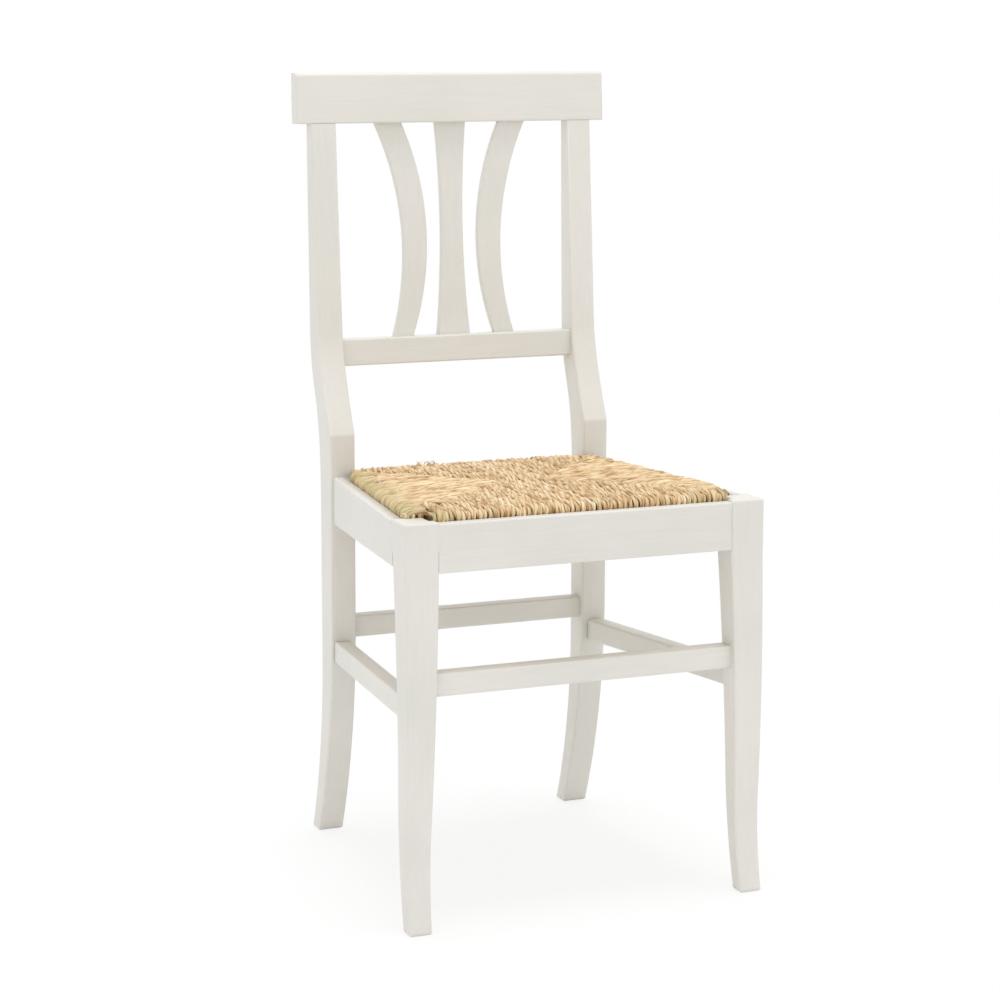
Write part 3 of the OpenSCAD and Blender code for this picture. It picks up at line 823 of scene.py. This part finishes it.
def front_panel():
    cords = []
    low, high = -front_half + CORD_R + 5 * MM, front_half - CORD_R - 4 * MM
    start = front_edge + CORD_R
    worn_end = {0: (0, 0.85, -1 * MM), 1: (17 * MM, 1.45, 1.8 * MM), 2: (4 * MM, 1.1, 0.6 * MM)}
    for i, u in enumerate(spread(low, high)):
        extra, size, lift = worn_end.get(i, (0, 1.0, 0.0))
        run = seam_depth(u, True) - start + extra
        green = 0.75 * olive_at(u, low, high)
        cords.append(strand((u, start), (0, 1), run, FRONT_TURN, size, lift, green=green))
    return cords


def back_panel():
    cords = []
    low, high = -back_corner_half + CORD_R + 7 * MM, back_corner_half - CORD_R
    for u in spread(low, high):
        start = (back_edge if abs(u) < back_half - CORD_R else post_line) - CORD_R
        run = max(SHORTEST, start - seam_depth(u, False))
        green = 0.6 * olive_at(u, low, high)
        cords.append(strand((u, start), (0, -1), run, FRONT_TURN, green=green))
    return cords


def side_panel(side):
    cords = []
    low, high = notch_line + CORD_R, post_line - CORD_R
    for i, v in enumerate(spread(low, high)):
        if side < 0:
            green = hand.uniform(0.25, 0.95)
            drawn = 0.7 * smooth(1 - (high - v) / (26 * MM))
        else:
            green = 0.8 * olive_at(v, low, high)
            drawn = 1 - smooth((v - low) / (45 * MM))
        start = side * (side_edge(v) - CORD_R - DRAWN_IN * drawn)
        run = max(SHORTEST, abs(start) - seam_width(v))
        lift, thin = -DRAWN_DOWN * drawn, 0.0
        if side < 0 and i == 0:
            run += 5 * MM
        if side < 0 and i in WORN_CORDS:
            lift, thin = -0.5 * MM, 0.85
        cords.append(strand((start, v), (-side, 0), run, -SIDE_TURN, 1.0, lift, thin, green))
    return cords


def notch_cords():
    """The short ends of cord that close the weave where it is notched round the left front leg."""
    start = notch_line + 0.8 * CORD_R
    return [strand((-u, start), (0, 1), 15 * MM, FRONT_TURN, 0.9, -3 * MM, green=hand.uniform(0.0, 0.5))
            for u in spread(front_half + 0.5 * CORD_R, corner_half - CORD_R)]


weave = {
    "front": front_panel() + notch_cords(),
    "back": back_panel(),
    "left": side_panel(-1),
    "right": side_panel(1),
}
for name, strands in weave.items():
    finished(swept("rush_" + name, strands, [CORD_R * r for r in LOBES]), "rush_seat", rush)

# %% [markdown]
# ## Rush seat: stuffing
#
# Behind the cords lies what the weaver pushes in: scraps of dry leaves. Its colour is a dark brown
# that stands for the shade between the cords, painted shade, and it shows only as the dark of the
# gaps. It is a plate with the seat's outline, set in by the thickness of the cords, so it begins as a
# flat face with twelve corners, which is inset, extruded and given soft edges.


# %% Stuffing
def stuffing():
    bpy.ops.object.select_all(action="DESELECT")
    bpy.ops.mesh.primitive_circle_add(vertices=12, fill_type="NGON")
    piece = bpy.context.object
    piece.name = "rush_stuffing_painted_shade"
    outline = half_outline + [(-u, v) for u, v in reversed(half_outline)]
    under = bottom_w + 0.7 * CORD_R
    thickness = top_edge_w - 0.7 * CORD_R - under
    for vertex, (u, v) in zip(piece.data.vertices, outline):
        vertex.co = (u, v, under)
    bpy.ops.object.mode_set(mode="EDIT")
    bpy.ops.mesh.select_mode(type="FACE")
    bpy.ops.mesh.select_all(action="SELECT")
    bpy.ops.mesh.inset(thickness=1.9 * CORD_R, use_even_offset=True)
    bpy.ops.mesh.select_all(action="INVERT")
    bpy.ops.mesh.delete(type="FACE")
    bpy.ops.mesh.select_all(action="SELECT")
    bpy.ops.mesh.extrude_region_move(TRANSFORM_OT_translate={"value": (0, 0, thickness)})
    bpy.ops.mesh.select_all(action="SELECT")
    bpy.ops.mesh.normals_make_consistent(inside=False)
    bpy.ops.object.mode_set(mode="OBJECT")
    piece.data.transform(seat_place)
    piece.modifiers.new("soft_edges", "BEVEL").width = 2 * MM
    apply_all(piece)
    return finished(piece, "rush_seat", stuffing_in_painted_shade())


print("stuffing:", len(stuffing().data.polygons), "faces")

# %% [markdown]
# ## Rush seat: loose ends
#
# Here and there the end of a leaf has worked itself out of the twist. These wisps are thin tapered
# strands that start inside a cord and curl up a few millimetres. Most lie scattered over the top,
# and a dozen stand together near the left end of the back edge.


# %% Wisps
WISP_POINTS = 7
SCATTERED = 110
STANDING = 12
WISP_SECTION = [0.55 * MM, 0.2 * MM] * 2


def wisp(u, v, length, rise):
    """A loose leaf end that rises from the top of the seat at (u, v)."""
    heading, curl = hand.uniform(0, 2 * math.pi), hand.uniform(-1.2, 1.2)
    base = top_edge_w + 0.3 * CORD_R
    points, sizes = [], []
    for i in range(WISP_POINTS):
        t = i / (WISP_POINTS - 1)
        a = heading + curl * t
        w = base + (CORD_R + rise) * math.sin(0.5 * math.pi * t) * (1.15 - 0.3 * t)
        points.append(seat_place @ Vector((u + length * t * math.cos(a), v + length * t * math.sin(a), w)))
        sizes.append(0.15 + 1.2 * math.sin(math.pi * (0.12 + 0.83 * t)))
    tone = hand.uniform(0.45, 0.95)
    return {"points": points, "sizes": sizes, "tilts": [0.0] * WISP_POINTS,
            "tone": [tone] * WISP_POINTS, "green": [0.1] * WISP_POINTS}


loose = []
for _ in range(SCATTERED):
    v = hand.uniform(front_edge + 12 * MM, back_edge - 14 * MM)
    u = hand.uniform(-1, 1) * (side_edge(max(v, notch_line)) - 14 * MM)
    loose.append(wisp(u, v, hand.uniform(6, 17) * MM, hand.uniform(0.5, 3.0) * MM))
for _ in range(STANDING):
    loose.append(wisp(hand.uniform(-72, -48) * MM, back_edge - hand.uniform(6, 22) * MM,
                      hand.uniform(3, 7) * MM, hand.uniform(1.5, 4.5) * MM))
finished(swept("rush_wisps", loose, WISP_SECTION), "rush_seat", rush)
panels = [bpy.data.objects["rush_" + name] for name in weave]
print("seat done:", sum(len(panel.data.polygons) for panel in panels), "faces in the panels")

# %% [markdown]
# ## Floor and world
#
# A white studio. The world is plain white all round, as the paper of a studio sweep is, and a little
# brighter near the horizon than overhead, so that even the faces under the seat stay pale. The
# floor is pale paint near the chair, where it takes a soft shadow, and to the camera it turns into
# plain white light further off, so that no horizon shows. The Light Path node decides that, so it
# changes what is seen and not how the chair is lit.


# %% Floor and world
FADE_FROM = 0.45
FADE_TO = 1.1
NEAR_GLOW = 0.78
HORIZON = 1.18
OVERHEAD = 0.72


def seen_ray(tree):
    """1 for rays that show the background: from the camera, in a gloss, or through glass."""
    path = tree.nodes.new("ShaderNodeLightPath")
    total = path.outputs["Is Camera Ray"]
    for name in ("Is Glossy Ray", "Is Transmission Ray"):
        either = tree.nodes.new("ShaderNodeMath")
        either.operation = "MAXIMUM"
        tree.links.new(total, either.inputs[0])
        tree.links.new(path.outputs[name], either.inputs[1])
        total = either.outputs[0]
    return total


def white_floor():
    finish = Finish("studio_floor")
    finish.shader.inputs["Base Color"].default_value = (0.9, 0.9, 0.9, 1)
    finish.shader.inputs["Roughness"].default_value = 0.9
    finish.shader.inputs["Specular IOR Level"].default_value = 0.1
    place = finish.coordinates((1, 1, 1))
    distance = finish.node("VectorMath", {0: place}, operation="LENGTH").outputs["Value"]
    fade = finish.node("MapRange", {
        "Value": distance, "From Min": FADE_FROM, "From Max": FADE_TO, "To Min": NEAR_GLOW, "To Max": 1.0,
    }).outputs["Result"]
    glow = finish.node("Emission", {"Color": (1, 1, 1, 1), "Strength": 1.0})
    blend = finish.node("MixShader", {
        0: finish.math("MULTIPLY", fade, seen_ray(finish.tree)),
        1: finish.shader.outputs[0], 2: glow.outputs[0]})
    finish.join(blend.outputs[0], finish.tree.nodes["Material Output"].inputs["Surface"])
    return finish.material


bpy.ops.mesh.primitive_circle_add(radius=30, vertices=64, fill_type="NGON")
floor = bpy.context.object
floor.name = "floor"
floor.data.materials.append(white_floor())

world = bpy.data.worlds.new("studio")
bpy.context.scene.world = world
world.use_nodes = True
world.node_tree.nodes["Background"].inputs["Color"].default_value = (1, 1, 1, 1)
direction = world.node_tree.nodes.new("ShaderNodeTexCoord").outputs["Generated"]
height = world.node_tree.nodes.new("ShaderNodeSeparateXYZ")
level = world.node_tree.nodes.new("ShaderNodeMapRange")
level.inputs["To Min"].default_value = HORIZON
level.inputs["To Max"].default_value = OVERHEAD
world.node_tree.links.new(direction, height.inputs[0])
world.node_tree.links.new(height.outputs["Z"], level.inputs["Value"])
world.node_tree.links.new(level.outputs["Result"], world.node_tree.nodes["Background"].inputs["Strength"])
print("floor:", floor.name, "world:", world.name)

# %% [markdown]
# ## Lamps
#
# One broad lamp hangs high above, a little in front of the chair. It makes the tops of the rails
# the brightest faces, as in any room, and the faces that look forward a little brighter than the
# rest, which shows the corners. It is large, so no edge throws a hard shadow.


# %% Lamps
def soft_lamp(name, place, target, size, power):
    lamp = bpy.data.objects.new(name, bpy.data.lights.new(name, "AREA"))
    lamp.data.shape = "RECTANGLE"
    lamp.data.size, lamp.data.size_y = size
    lamp.data.energy = power
    lamp.location = place
    lamp.rotation_euler = (Vector(target) - Vector(place)).to_track_quat("-Z", "Y").to_euler()
    bpy.context.collection.objects.link(lamp)


CHAIR_MIDDLE = (0, 0, 0.5)
LAMP_PLACE = (0.1, -0.4, 6.0)
LAMP_SIZE = (2.6, 2.6)
LAMP_WATTS = 145
soft_lamp("overhead", LAMP_PLACE, CHAIR_MIDDLE, LAMP_SIZE, LAMP_WATTS)
bpy.context.scene.view_settings.view_transform = "Standard"
print("lamps: one, overhead")
